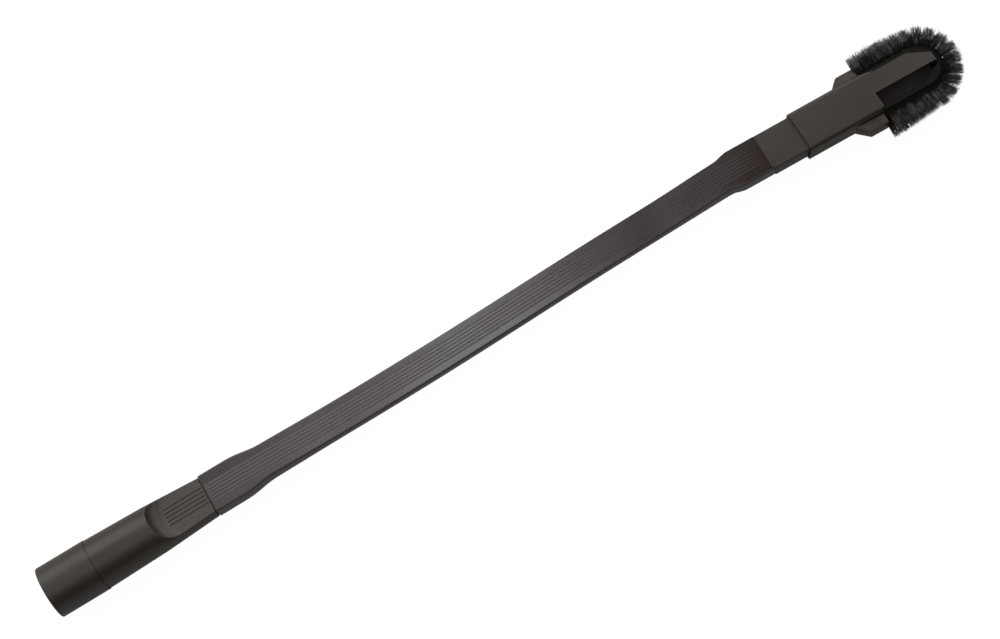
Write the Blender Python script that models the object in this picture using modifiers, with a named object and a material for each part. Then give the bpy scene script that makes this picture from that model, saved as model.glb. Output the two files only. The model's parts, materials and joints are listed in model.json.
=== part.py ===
"""Radiator brush for a vacuum cleaner: hose connector, flat flexible tube, mouthpiece and brush head.

The tool lies along X. Its hose socket opens at the -X end, and the brush head is at the +X end.
Z is up, and z = 0 is the lowest point of the round socket, on which the tool lies. The origin is
below the middle of the tool. Lengths are in metres.

The connector is built along the socket's own axis. The mouthpiece and everything on the brush head
are built in the frame of an empty at the far end of the tube's centre line, because the flexible
tube bends a little sideways on its way. A second empty, on the line along which the brush head
slips off, carries the head, its bristle rim and the tufts.
"""
import math

import bmesh
import bpy
from mathutils import Matrix, Vector

# Allowances
GAP = 0.0003              # between two pieces that touch
OVERRUN = 0.004           # how far a cutter runs past what it cuts
MERGE = 0.000002          # points closer than this are one point

# Hose connector: the socket
SOCKET_BORE = 0.0350      # diameter, for a 35 mm hose end
SOCKET_WALL = 0.0022
SOCKET_DEPTH = 0.0400
HOSE_STOP = 0.0015        # step that the hose end stops against
COLLAR_LENGTH = 0.0390
COLLAR_STEP = 0.0004
COLLAR_GROOVE_WIDTH = 0.0007
COLLAR_GROOVE_DEPTH = 0.0010      # below the collar
RIM_ROUND = 0.0008

# Hose connector: the flattened end
CONNECTOR_LENGTH = 0.1295
CONNECTOR_MIDDLE_RADIUS = 0.0181    # where the scoops start
CONNECTOR_END_RADIUS = 0.0155
CONNECTOR_FLAT = 0.0126   # thickness between the two flat faces
SCOOP_START = 0.0855
SCOOP_RADIUS = 0.0115
SCOOP_NOSE = 0.0100       # length of the half oval that starts the flat face
SCOOP_WIDTH = 0.0315      # of the flat face, behind that half oval
SCOOP_STEPS = 10
FUNNEL_LENGTH = 0.0500    # over which the bore turns from round to flat
CONNECTOR_GROOVES = 5
CONNECTOR_GROOVE_PITCH = 0.00315
CONNECTOR_GROOVE_WIDTH = 0.0009
CONNECTOR_GROOVE_DEPTH = 0.0006
CONNECTOR_GROOVE_END = 0.0008   # plain strip between the grooves and the joint

# Spigots, which plug into the cuffs of the tube
SPIGOT_WIDTH = 0.0260
SPIGOT_THICKNESS = 0.0090
SPIGOT_LENGTH = 0.0250
SPIGOT_WALL = 0.0014
FLAT_CORNER = 0.0026      # corner radius of the flat spigots and bores

# Flexible tube
TUBE_LENGTH = 0.4660
TUBE_WIDTH = 0.0252
TUBE_THICKNESS = 0.0089
TUBE_TOP_CORNER = 0.0011
TUBE_FOOT_CORNER = 0.0030
TUBE_WALL = 0.0018
LOWER_CUFF_WIDTH = 0.0306
LOWER_CUFF_THICKNESS = 0.0138
LOWER_CUFF_LENGTH = 0.0240
LOWER_CUFF_TAPER = 0.0240
UPPER_CUFF_WIDTH = 0.0300
UPPER_CUFF_THICKNESS = 0.0122
UPPER_CUFF_LENGTH = 0.0235
UPPER_CUFF_TAPER = 0.0110
CUFF_ROUND = 0.0004
CUFF_BORE_DEPTH = 0.0253
TUBE_GROOVES = 6
TUBE_GROOVE_PITCH = 0.0026
TUBE_GROOVE_WIDTH = 0.0012
TUBE_GROOVE_DEPTH = 0.00045
TUBE_RUNS = 18            # lengths that the plain tube is divided into
TAPER_RUNS = 6
TUBE_STRAIGHT = 0.0260    # at each end, where a spigot holds it
TUBE_SIDE_SHIFT = 0.0047  # of the far end of the bent length
TUBE_END_SLOPE = -0.036   # sideways, of the straight far end
TUBE_BOW = 0.0034         # of the tube's middle, away from a plain S-curve
TUBE_FAR_BOW = 0.0014     # a further bow near the far end
FAR_BOW_SHARE = 0.85       # place of its top along the bent length

# Mouthpiece
MOUTH_WIDTH = 0.0304
MOUTH_THICKNESS = 0.0116
MOUTH_CORNER = 0.0014
MOUTH_WALL = 0.0016
MOUTH_SHOWN = 0.0289      # between the tube and the brush head
MOUTH_TAPER = 0.0004      # that its width loses towards its tip
MOUTH_BORE_FLARE = 0.0080

# Brush head: sleeve and hood, one hollow nose with a rounded end
HEAD_WIDTH = 0.0346
HEAD_THICKNESS = 0.0165
HEAD_TOP_ROUND = 0.0044
HEAD_FOOT_ROUND = 0.0030
HEAD_SKIN = 0.00165       # top and bottom plates
SLEEVE_DEPTH = 0.0260
SLEEVE_FIT = 0.0003
SLEEVE_SLANT = 0.0020     # that the sleeve's lower edge reaches further back than its upper edge
NOSE_CENTRE = 0.0982      # from the sleeve's edge to the centre of the round nose
HOLLOW_WIDTH = 0.0272     # of the hollow behind the shoulders' ends
NOSE_STEPS = 22           # sides of the half round nose

# Brush head: shoulders, and the window that opens half of the hood
SHOULDER_START = 0.0338
SHOULDER_CORNER = 0.0448
SHOULDER_END = 0.0595
SHOULDER_WIDTH = 0.0506
SHOULDER_HEIGHT = 0.0107  # above the underside
SHOULDER_ROUND = 0.0010
WINDOW_START = 0.0615
WINDOW_EDGE = 0.0030      # of the hood that covers the middle line on the window's side
WINDOW_SILL = 0.0034      # above the underside

# Brush head: core of the hood, which stands inside the bristle rim
CORE_REAR_WIDTH = 0.0312
CORE_WIDTH = 0.0252
CORE_TIP_WIDTH = 0.0084
CORE_TAPER_END = 0.0710
CORE_NOSE_START = 0.0960
CORE_TIP = 0.1120
CORE_WALL = 0.0016

# Bristle rim, which lies on a ledge round the core
RIM_WIDTH = 0.0416
RIM_CROWN_WIDTH = 0.0328
RIM_LEDGE = 0.0015        # thickness of the ledge
RIM_HEIGHT = 0.0110
RIM_WALL_HEIGHT = 0.0056
RIM_BEVEL_OUT = 0.0036
RIM_BEVEL_UP = 0.0032

# Tufts
TUFTS_PER_ROW = 21
TUFT_RADIUS = 0.00105
TUFT_SEAT_DEPTH = 0.0026
TUFT_HOLE_SIDES = 8
STRANDS_PER_TUFT = 10
STRAND_CLEARANCE = 0.00006      # between strands, where they leave the tuft
BRUSH_HALF_WIDTH = 0.0352       # from the middle line to the bristle tips
LOWER_ROW_HEIGHT = 0.0018       # above the rim's underside
UPPER_ROW_TILT = math.radians(12)
LOWER_ROW_TILT = math.radians(-2)
TUFT_SPREAD = 0.0026            # along the rim, of the bristle tips to each side
UPPER_ROW_RISE = 0.0030         # across the rim, of the bristle tips to each side
LOWER_ROW_RISE = 0.0024
ROW_SHARES = {"upper": 0.25, "lower": 0.75}     # places of the two rows' tufts in one pitch
SPREAD_SHARES = (1.0, 0.5)      # of the spread, for every other strand
LENGTH_SHARES = (0.93, 1.0)     # of the length, for every other strand
TIP_SHARE = 0.5                 # of a strand's width that is left at its tip

# Places along the connector's axis and along the brush head's
SOCKET_RADIUS = SOCKET_BORE / 2 + SOCKET_WALL
SCOOP_END = SCOOP_START + SCOOP_RADIUS
TUBE_START = CONNECTOR_LENGTH + GAP
TUBE_END = TUBE_START + TUBE_LENGTH
SLEEVE_EDGE = GAP + MOUTH_SHOWN
MOUTH_TIP = SLEEVE_EDGE + SLEEVE_DEPTH - GAP
TOOL_LENGTH = TUBE_END + SLEEVE_EDGE + NOSE_CENTRE + BRUSH_HALF_WIDTH
HEAD_UNDERSIDE = -HEAD_THICKNESS / 2
SPIGOT_BORE_WIDTH = SPIGOT_WIDTH - 2 * SPIGOT_WALL
SPIGOT_BORE_THICKNESS = SPIGOT_THICKNESS - 2 * SPIGOT_WALL
RIM_UNDERSIDE = HEAD_UNDERSIDE + RIM_LEDGE + GAP


def clear_scene():
    """Removes what the scene holds."""
    for thing in list(bpy.data.objects):
        bpy.data.objects.remove(thing, do_unlink=True)


def new_collection(name, hidden=False):
    """A collection in the scene."""
    made = bpy.data.collections.new(name)
    bpy.context.scene.collection.children.link(made)
    made.hide_render = hidden
    return made


def plastic(name, colour, roughness):
    """A plain plastic material."""
    material = bpy.data.materials.new(name)
    material.use_nodes = True
    surface = material.node_tree.nodes["Principled BSDF"]
    surface.inputs["Base Color"].default_value = (*colour, 1.0)
    surface.inputs["Roughness"].default_value = roughness
    surface.inputs["Metallic"].default_value = 0.0
    material.diffuse_color = (*colour, 1.0)
    return material


def frame(name, parent, place, heading=0.0):
    """An empty that carries pieces, turned by its heading about Z."""
    empty = bpy.data.objects.new(name, None)
    PARTS.objects.link(empty)
    empty.parent = parent
    empty.location = place
    empty.rotation_euler = (0.0, 0.0, heading)
    return empty


def add_piece(name, mesh, parent, material, smooth_angle=30):
    """A named piece of the tool."""
    mesh.materials.append(material)
    mesh.shade_smooth()
    mesh.set_sharp_from_angle(angle=math.radians(smooth_angle))
    piece = bpy.data.objects.new(name, mesh)
    PARTS.objects.link(piece)
    piece.parent = parent
    return piece


def add_cutter(name, mesh, parent):
    """A solid that cuts or joins a piece, and isn't one itself."""
    cutter = bpy.data.objects.new(name, mesh)
    CUTTERS.objects.link(cutter)
    cutter.parent = parent
    cutter.hide_render = True
    cutter.display_type = "WIRE"
    return cutter


def combine(piece, operation, other):
    """Cuts or joins a piece with a cutter."""
    step = piece.modifiers.new(other.name, "BOOLEAN")
    step.operation = operation
    step.solver = "EXACT"
    step.object = other
    return step


def finish_mesh(name, bm):
    """Turns a bmesh into a mesh whose faces point out."""
    bmesh.ops.remove_doubles(bm, verts=bm.verts, dist=MERGE)
    bmesh.ops.recalc_face_normals(bm, faces=bm.faces)
    mesh = bpy.data.meshes.new(name)
    bm.to_mesh(mesh)
    bm.free()
    return mesh


def loft_mesh(name, rings):
    """A solid through rings with the same number of points, capped at both ends."""
    bm = bmesh.new()
    loops = [[bm.verts.new(point) for point in ring] for ring in rings]
    for near, far in zip(loops, loops[1:]):
        for i in range(len(near)):
            j = (i + 1) % len(near)
            bm.faces.new((near[i], near[j], far[j], far[i]))
    bm.faces.new(reversed(loops[0]))
    bm.faces.new(loops[-1])
    return finish_mesh(name, bm)


def prism_mesh(name, outline, along):
    """An outline of points in space, drawn out by a vector."""
    bm = bmesh.new()
    face = bm.faces.new([bm.verts.new(point) for point in outline])
    drawn = bmesh.ops.extrude_face_region(bm, geom=[face])["geom"]
    moved = [item for item in drawn if isinstance(item, bmesh.types.BMVert)]
    bmesh.ops.translate(bm, verts=moved, vec=along)
    return finish_mesh(name, bm)


def box_mesh(name, low, high):
    """A box between two corners."""
    bm = bmesh.new()
    size = Vector(high) - Vector(low)
    middle = (Vector(high) + Vector(low)) / 2
    bmesh.ops.create_cube(bm, size=1.0, matrix=Matrix.Translation(middle) @ Matrix.Diagonal((*size, 1.0)))
    return finish_mesh(name, bm)


def arc(centre, radius, start, end, steps):
    """Points of an arc in a plane, with both its ends, by angles in degrees."""
    points = []
    for i in range(steps + 1):
        angle = math.radians(start + (end - start) * i / steps)
        points.append((centre[0] + radius * math.cos(angle), centre[1] + radius * math.sin(angle)))
    return points


def rounded_section(width, thickness, corner, steps=4):
    """Points (y, z) round a flat section with rounded corners."""
    side = width / 2 - corner
    rise = thickness / 2 - corner
    points = []
    for y, z, start in ((side, rise, 0), (-side, rise, 90), (-side, -rise, 180), (side, -rise, 270)):
        points += arc((y, z), corner, start, start + 90, steps)
    return points


def ribbed_half(width, thickness, corner, groove_depth):
    """Points (y, z) of the upper half of a flat section, with grooves along the middle of its face."""
    side = width / 2 - corner
    top = thickness / 2
    run = arc((side, top - corner), corner, 0, 90, 4)
    for i in range(TUBE_GROOVES):
        y = ((TUBE_GROOVES - 1) / 2 - i) * TUBE_GROOVE_PITCH
        run.append((y + TUBE_GROOVE_WIDTH / 2, top))
        run.append((y, top - groove_depth))
        run.append((y - TUBE_GROOVE_WIDTH / 2, top))
    return run + arc((-side, top - corner), corner, 90, 180, 4)


def ribbed_section(width, thickness, groove_depth):
    """Points (y, z) round the tube, whose upper edges are crisper than its lower ones."""
    upper = ribbed_half(width, thickness, TUBE_TOP_CORNER, groove_depth)
    lower = ribbed_half(width, thickness, TUBE_FOOT_CORNER, groove_depth)
    return upper + [(-y, -z) for y, z in lower]


def flat_ring(x, section):
    """A section's points, stood up across the X axis."""
    return [(x, y, z) for y, z in section]


def ease(share):
    """A smooth step from 0 to 1."""
    return share * share * (3 - 2 * share)


def far_bow(share):
    """How far the tube's far bow has grown at a share of the bent length, and its slope there."""
    left = 1 - share
    power = 2 * FAR_BOW_SHARE / (1 - FAR_BOW_SHARE)
    top = FAR_BOW_SHARE ** power * (1 - FAR_BOW_SHARE) ** 2
    growth = share ** power * left * left / top
    return growth, share ** (power - 1) * left * (power * left - 2 * share) / top


def spine(distance):
    """Side shift and heading of the tube's centre line, at a distance from its start."""
    curved = TUBE_LENGTH - 2 * TUBE_STRAIGHT
    share = min(max((distance - TUBE_STRAIGHT) / curved, 0), 1)
    left = 1 - share
    shift = TUBE_SIDE_SHIFT * ease(share) - curved * TUBE_END_SLOPE * share * share * left
    shift -= TUBE_BOW * 16 * share * share * left * left
    growth, change = far_bow(share)
    shift -= TUBE_FAR_BOW * growth
    shift += TUBE_END_SLOPE * max(distance - TUBE_STRAIGHT - curved, 0)
    rise = TUBE_SIDE_SHIFT * 6 * share * left - TUBE_BOW * 32 * share * left * (left - share)
    rise -= TUBE_FAR_BOW * change
    slope = rise / curved + TUBE_END_SLOPE * share * (1 - 3 * left)
    return shift, math.atan(slope)


def spine_ring(distance, section):
    """A section's points, stood up across the tube's centre line at a distance from its start."""
    shift, heading = spine(distance)
    ring = []
    for y, z in section:
        x = TUBE_START + distance - y * math.sin(heading)
        ring.append((x, shift + y * math.cos(heading), z))
    return ring


def nose_outline(width, rear):
    """Points (x, y) of a straight-sided outline with a half round front end."""
    points = arc((NOSE_CENTRE, 0), width / 2, -90, 90, NOSE_STEPS)
    return [(rear, -width / 2)] + points + [(rear, width / 2)]


def core_outline(rear, rear_width, grow):
    """Points (x, y) of the hood's core with its cut-off tip, grown or shrunk to each side."""
    half = CORE_WIDTH / 2 + grow
    points = [(rear, -rear_width / 2 - grow), (CORE_TAPER_END, -half), (CORE_NOSE_START, -half)]
    points.append((CORE_TIP + grow, -(CORE_TIP_WIDTH + grow) / 2))
    return points + [(x, -y) for x, y in reversed(points)]


def band_outline(outer_width, rear, grow):
    """Points (x, y) of a band between a round nose and the core, open at the rear."""
    return nose_outline(outer_width, rear) + core_outline(rear, CORE_REAR_WIDTH, grow)[::-1]


def level(outline, z):
    """An outline's points at a height."""
    return [(x, y, z) for x, y in outline]


def connector_body(parent, material):
    """The turned outside: a collar, a groove behind it and a long taper."""
    bm = bmesh.new()
    rim = arc((SOCKET_RADIUS - RIM_ROUND, RIM_ROUND), RIM_ROUND, 0, -90, 3)
    profile = [(0, CONNECTOR_LENGTH), (CONNECTOR_END_RADIUS, CONNECTOR_LENGTH)]
    profile += [(CONNECTOR_MIDDLE_RADIUS, SCOOP_START)]
    groove = SOCKET_RADIUS - COLLAR_GROOVE_DEPTH
    groove_start = COLLAR_LENGTH - COLLAR_GROOVE_WIDTH
    profile += [(SOCKET_RADIUS - COLLAR_STEP, COLLAR_LENGTH), (groove, COLLAR_LENGTH)]
    profile += [(groove, groove_start), (SOCKET_RADIUS, groove_start)]
    profile += rim + [(0, 0)]
    points = [bm.verts.new((radius, 0, height)) for radius, height in profile]
    for start, end in zip(points, points[1:]):
        bm.edges.new((start, end))
    mesh = bpy.data.meshes.new("hose_connector")
    bm.to_mesh(mesh)
    bm.free()
    body = add_piece("hose_connector", mesh, parent, material)
    body.rotation_euler = (0, math.radians(90), 0)
    turn = body.modifiers.new("turned", "SCREW")
    turn.steps = 40
    turn.render_steps = 40
    turn.use_merge_vertices = True
    turn.merge_threshold = MERGE
    turn.use_smooth_shade = True
    return body


def scoop_outline(grow):
    """Points (x, y) round the flat face with its half oval start, grown to each side."""
    tail = CONNECTOR_LENGTH + OVERRUN
    half = SCOOP_WIDTH / 2 + grow
    points = [(tail, half)]
    for x, y in arc((0, 0), 1, 90, 270, 2 * SCOOP_STEPS):
        points.append((SCOOP_END + SCOOP_NOSE + (SCOOP_NOSE + grow) * x, half * y))
    return points + [(tail, -half)]


def scoop_cutter(name, side, parent):
    """What is scooped off one side of the round body, down to its flat face."""
    flat = CONNECTOR_FLAT / 2
    rings = []
    for out, up in arc((0, SCOOP_RADIUS), SCOOP_RADIUS, -90, 0, SCOOP_STEPS):
        rings.append(level(scoop_outline(out), side * (flat + up)))
    rings.append(level(scoop_outline(SCOOP_RADIUS), side * (SOCKET_RADIUS + OVERRUN)))
    return add_cutter(name, loft_mesh(name, rings), parent)


def spigot_solid(name, base, tip, parent):
    """A flat plug with eased tip edges, from a base to a tip along X."""
    ease_in = SPIGOT_WALL / 2
    toward = math.copysign(ease_in, tip - base)
    full = rounded_section(SPIGOT_WIDTH, SPIGOT_THICKNESS, FLAT_CORNER)
    small = rounded_section(SPIGOT_WIDTH - ease_in, SPIGOT_THICKNESS - ease_in, FLAT_CORNER - ease_in / 2)
    rings = [flat_ring(base, full), flat_ring(tip - toward, full), flat_ring(tip, small)]
    return add_cutter(name, loft_mesh(name, rings), parent)


def connector_bore(parent):
    """The inside: the hose socket, its stop, and a funnel from round to flat."""
    tip = CONNECTOR_LENGTH + SPIGOT_LENGTH + OVERRUN
    stop = SOCKET_BORE - 2 * HOSE_STOP
    hose = rounded_section(SOCKET_BORE, SOCKET_BORE, SOCKET_BORE / 2, 8)
    rings = [flat_ring(-OVERRUN, hose), flat_ring(SOCKET_DEPTH, hose)]
    for i in range(TAPER_RUNS + 1):
        share = i / TAPER_RUNS
        width = stop + (SPIGOT_BORE_WIDTH - stop) * share
        thickness = stop + (SPIGOT_BORE_THICKNESS - stop) * share
        corner = stop / 2 + (FLAT_CORNER - stop / 2) * share
        section = rounded_section(width, thickness, corner, 8)
        rings.append(flat_ring(SOCKET_DEPTH + FUNNEL_LENGTH * share, section))
    rings.append(flat_ring(tip, rounded_section(SPIGOT_BORE_WIDTH, SPIGOT_BORE_THICKNESS, FLAT_CORNER, 8)))
    return add_cutter("connector_bore", loft_mesh("connector_bore", rings), parent)


def connector_groove(name, y, side, parent):
    """One shallow groove along a flat face."""
    flat = side * CONNECTOR_FLAT / 2
    start = SCOOP_END
    end = CONNECTOR_LENGTH - CONNECTOR_GROOVE_END
    half = CONNECTOR_GROOVE_WIDTH / 2
    low = (start, y - half, flat - CONNECTOR_GROOVE_DEPTH)
    high = (end, y + half, flat + CONNECTOR_GROOVE_DEPTH)
    return add_cutter(name, box_mesh(name, low, high), parent)


def make_connector(parent, material):
    """Hose connector: round socket, scooped flat end, grooves and spigot."""
    body = connector_body(parent, material)
    combine(body, "DIFFERENCE", scoop_cutter("scoop_top", 1, parent))
    combine(body, "DIFFERENCE", scoop_cutter("scoop_under", -1, parent))
    base = CONNECTOR_LENGTH - OVERRUN
    combine(body, "UNION", spigot_solid("connector_spigot", base, CONNECTOR_LENGTH + SPIGOT_LENGTH, parent))
    combine(body, "DIFFERENCE", connector_bore(parent))
    for side, label in ((1, "top"), (-1, "under")):
        for i in range(CONNECTOR_GROOVES):
            y = (i - (CONNECTOR_GROOVES - 1) / 2) * CONNECTOR_GROOVE_PITCH
            cutter = connector_groove(f"connector_groove_{label}_{i + 1}", y, side, parent)
            combine(body, "DIFFERENCE", cutter)
    return body


def tube_profile(distance):
    """Width, thickness and groove depth of the tube at a distance from its start."""
    lower = ease(min(max((distance - LOWER_CUFF_LENGTH) / LOWER_CUFF_TAPER, 0), 1))
    left = TUBE_LENGTH - distance
    upper = ease(min(max((left - UPPER_CUFF_LENGTH) / UPPER_CUFF_TAPER, 0), 1))
    width = TUBE_WIDTH + (LOWER_CUFF_WIDTH - TUBE_WIDTH) * (1 - lower)
    width += (UPPER_CUFF_WIDTH - TUBE_WIDTH) * (1 - upper)
    thickness = TUBE_THICKNESS + (LOWER_CUFF_THICKNESS - TUBE_THICKNESS) * (1 - lower)
    thickness += (UPPER_CUFF_THICKNESS - TUBE_THICKNESS) * (1 - upper)
    cuff_depth = min(distance / LOWER_CUFF_LENGTH, left / UPPER_CUFF_LENGTH, 1)
    return width, thickness, TUBE_GROOVE_DEPTH * cuff_depth


def tube_stations():
    """Distances from the tube's start at which its outside has a section."""
    plain_start = LOWER_CUFF_LENGTH + LOWER_CUFF_TAPER
    plain_end = TUBE_LENGTH - UPPER_CUFF_LENGTH - UPPER_CUFF_TAPER
    stations = [CUFF_ROUND]
    for i in range(TAPER_RUNS + 1):
        stations.append(LOWER_CUFF_LENGTH + LOWER_CUFF_TAPER * i / TAPER_RUNS)
    for i in range(1, TUBE_RUNS):
        stations.append(plain_start + (plain_end - plain_start) * i / TUBE_RUNS)
    for i in range(TAPER_RUNS + 1):
        stations.append(plain_end + UPPER_CUFF_TAPER * i / TAPER_RUNS)
    return stations + [TUBE_LENGTH - CUFF_ROUND]


def tube_end_ring(distance):
    """The eased end of a cuff."""
    width, thickness, _ = tube_profile(distance)
    return spine_ring(distance, ribbed_section(width - CUFF_ROUND, thickness - CUFF_ROUND, 0))


def tube_bore(parent):
    """The inside: a plain flat duct, wider in the two cuffs, where the spigots plug in."""
    cuff = rounded_section(SPIGOT_WIDTH + 2 * GAP, SPIGOT_THICKNESS + 2 * GAP, FLAT_CORNER + GAP)
    duct = rounded_section(TUBE_WIDTH - 2 * TUBE_WALL, TUBE_THICKNESS - 2 * TUBE_WALL, FLAT_CORNER)
    far = TUBE_LENGTH - CUFF_BORE_DEPTH
    rings = [spine_ring(-OVERRUN, cuff), spine_ring(CUFF_BORE_DEPTH, cuff)]
    for i in range(TUBE_RUNS + 1):
        distance = CUFF_BORE_DEPTH + (far - CUFF_BORE_DEPTH) * i / TUBE_RUNS
        rings.append(spine_ring(distance, duct))
    rings += [spine_ring(far, cuff), spine_ring(TUBE_LENGTH + OVERRUN, cuff)]
    return add_cutter("tube_bore", loft_mesh("tube_bore", rings), parent)


def make_tube(parent, material):
    """Flexible tube: flat, grooved along its faces, with a thicker cuff at each end."""
    rings = [tube_end_ring(0)]
    for distance in tube_stations():
        width, thickness, depth = tube_profile(distance)
        rings.append(spine_ring(distance, ribbed_section(width, thickness, depth)))
    rings.append(tube_end_ring(TUBE_LENGTH))
    tube = add_piece("flexible_tube", loft_mesh("flexible_tube", rings), parent, material, 40)
    combine(tube, "DIFFERENCE", tube_bore(parent))
    return tube


def make_mouthpiece(parent, material):
    """Mouthpiece: a stiff flat nozzle, plugged into the upper cuff and into the brush head."""
    root = rounded_section(MOUTH_WIDTH, MOUTH_THICKNESS, MOUTH_CORNER)
    tip = rounded_section(MOUTH_WIDTH - MOUTH_TAPER, MOUTH_THICKNESS - MOUTH_TAPER, MOUTH_CORNER)
    rings = [flat_ring(GAP, root), flat_ring(SLEEVE_EDGE, root), flat_ring(MOUTH_TIP, tip)]
    piece = add_piece("mouthpiece", loft_mesh("mouthpiece", rings), parent, material)
    combine(piece, "UNION", spigot_solid("mouthpiece_spigot", OVERRUN, GAP - SPIGOT_LENGTH, parent))
    narrow = rounded_section(SPIGOT_BORE_WIDTH, SPIGOT_BORE_THICKNESS, FLAT_CORNER)
    wide = rounded_section(MOUTH_WIDTH - 2 * MOUTH_WALL, MOUTH_THICKNESS - 2 * MOUTH_WALL, FLAT_CORNER)
    rings = [flat_ring(-SPIGOT_LENGTH - OVERRUN, narrow), flat_ring(GAP, narrow)]
    rings += [flat_ring(MOUTH_BORE_FLARE, wide), flat_ring(MOUTH_TIP + OVERRUN, wide)]
    combine(piece, "DIFFERENCE", add_cutter("mouthpiece_bore", loft_mesh("mouthpiece_bore", rings), parent))
    return piece


def hood_mesh():
    """Sleeve and hood in one: a long nose whose upper and lower edges are rounded."""
    top = HEAD_THICKNESS / 2
    rings = []
    edges = [(HEAD_FOOT_ROUND, HEAD_UNDERSIDE + HEAD_FOOT_ROUND, 270, 360, 3)]
    edges.append((HEAD_TOP_ROUND, top - HEAD_TOP_ROUND, 0, 90, 5))
    for radius, middle, start, end, steps in edges:
        for inset, z in arc((0, middle), radius, start, end, steps):
            rear = SLEEVE_SLANT * (z - top) / HEAD_THICKNESS
            rings.append(level(nose_outline(HEAD_WIDTH - 2 * (radius - inset), rear), z))
    return loft_mesh("brush_head", rings)


def shoulder_solid(parent):
    """The two shoulders that end the bristle rim, as one plate through the head."""
    half = SHOULDER_WIDTH / 2
    inner = HEAD_WIDTH / 2 - HEAD_FOOT_ROUND
    outline = [(SHOULDER_START, -inner), (SHOULDER_CORNER, -half), (SHOULDER_END, -half)]
    outline += [(x, -y) for x, y in reversed(outline)]
    mesh = prism_mesh("shoulders", level(outline, HEAD_UNDERSIDE), (0, 0, SHOULDER_HEIGHT))
    solid = add_cutter("shoulders", mesh, parent)
    edge = solid.modifiers.new("eased", "BEVEL")
    edge.width = SHOULDER_ROUND
    edge.segments = 2
    return solid


def head_chamber(parent):
    """The hollow of the nose, which joins the sleeve's bore."""
    floor = HEAD_UNDERSIDE + HEAD_SKIN
    height = HEAD_THICKNESS - 2 * HEAD_SKIN
    rear = SLEEVE_DEPTH - GAP
    outline = core_outline(rear, HOLLOW_WIDTH + 2 * CORE_WALL, -CORE_WALL)
    mesh = prism_mesh("head_chamber", level(outline, floor), (0, 0, height))
    return add_cutter("head_chamber", mesh, parent)


def sleeve_bore(parent):
    """The socket that slips over the mouthpiece."""
    width = MOUTH_WIDTH + 2 * SLEEVE_FIT
    thickness = MOUTH_THICKNESS + 2 * SLEEVE_FIT
    section = rounded_section(width, thickness, MOUTH_CORNER + SLEEVE_FIT)
    rings = [flat_ring(-OVERRUN, section), flat_ring(SLEEVE_DEPTH, section)]
    return add_cutter("sleeve_bore", loft_mesh("sleeve_bore", rings), parent)


def make_head(parent, material):
    """Brush head: sleeve, hood with its window, shoulders, and a seat for the bristle rim."""
    head = add_piece("brush_head", hood_mesh(), parent, material)
    combine(head, "UNION", shoulder_solid(parent))
    rear = SHOULDER_END - OVERRUN
    ledge = level(nose_outline(RIM_WIDTH, rear), HEAD_UNDERSIDE)
    mesh = prism_mesh("rim_ledge", ledge, (0, 0, RIM_LEDGE))
    combine(head, "UNION", add_cutter("rim_ledge", mesh, parent))
    seat = level(band_outline(SHOULDER_WIDTH + OVERRUN, SHOULDER_END, 0), HEAD_UNDERSIDE + RIM_LEDGE)
    mesh = prism_mesh("rim_seat", seat, (0, 0, HEAD_THICKNESS))
    combine(head, "DIFFERENCE", add_cutter("rim_seat", mesh, parent))
    combine(head, "DIFFERENCE", sleeve_bore(parent))
    combine(head, "DIFFERENCE", head_chamber(parent))
    low = (WINDOW_START, -SHOULDER_WIDTH, HEAD_UNDERSIDE + WINDOW_SILL)
    high = (NOSE_CENTRE + SHOULDER_WIDTH, -WINDOW_EDGE, HEAD_THICKNESS)
    combine(head, "DIFFERENCE", add_cutter("head_window", box_mesh("head_window", low, high), parent))
    return head


def rim_station(share):
    """A place on the rim's outer wall, and the direction that points out of it, in degrees."""
    radius = RIM_WIDTH / 2
    straight = NOSE_CENTRE - SHOULDER_END - GAP
    bend = math.pi * radius
    run = share * (2 * straight + bend)
    if run < straight:
        return SHOULDER_END + GAP + run, radius, 90
    if run > straight + bend:
        return NOSE_CENTRE - (run - straight - bend), -radius, -90
    angle = 90 - math.degrees((run - straight) / radius)
    out = math.radians(angle)
    return NOSE_CENTRE + radius * math.cos(out), radius * math.sin(out), angle


def tuft_place(row, number):
    """Where a tuft leaves the rim, as a matrix whose X axis points along the tuft."""
    upper = row == "upper"
    x, y, angle = rim_station((number + ROW_SHARES[row]) / TUFTS_PER_ROW)
    out = math.radians(angle)
    back = RIM_BEVEL_OUT / 2 if upper else 0
    height = RIM_UNDERSIDE + (RIM_WALL_HEIGHT + RIM_BEVEL_UP / 2 if upper else LOWER_ROW_HEIGHT)
    root = Vector((x - back * math.cos(out), y - back * math.sin(out), height))
    tilt = UPPER_ROW_TILT if upper else LOWER_ROW_TILT
    turn = Matrix.Rotation(out, 4, "Z") @ Matrix.Rotation(-tilt, 4, "Y")
    return Matrix.Translation(root) @ turn


def tuft_hole(row, number, parent):
    """The blind hole that a tuft is set in."""
    name = f"tuft_hole_{row}_{number + 1:02d}"
    bm = bmesh.new()
    depth = TUFT_SEAT_DEPTH + OVERRUN
    lie_down = Matrix.Rotation(math.radians(90), 4, "Y")
    middle = Matrix.Translation((depth / 2 - TUFT_SEAT_DEPTH, 0, 0))
    radius = TUFT_RADIUS + GAP
    bmesh.ops.create_cone(bm, cap_ends=True, segments=TUFT_HOLE_SIDES, radius1=radius, radius2=radius,
                          depth=depth, matrix=tuft_place(row, number) @ middle @ lie_down)
    return add_cutter(name, finish_mesh(name, bm), parent)


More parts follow.
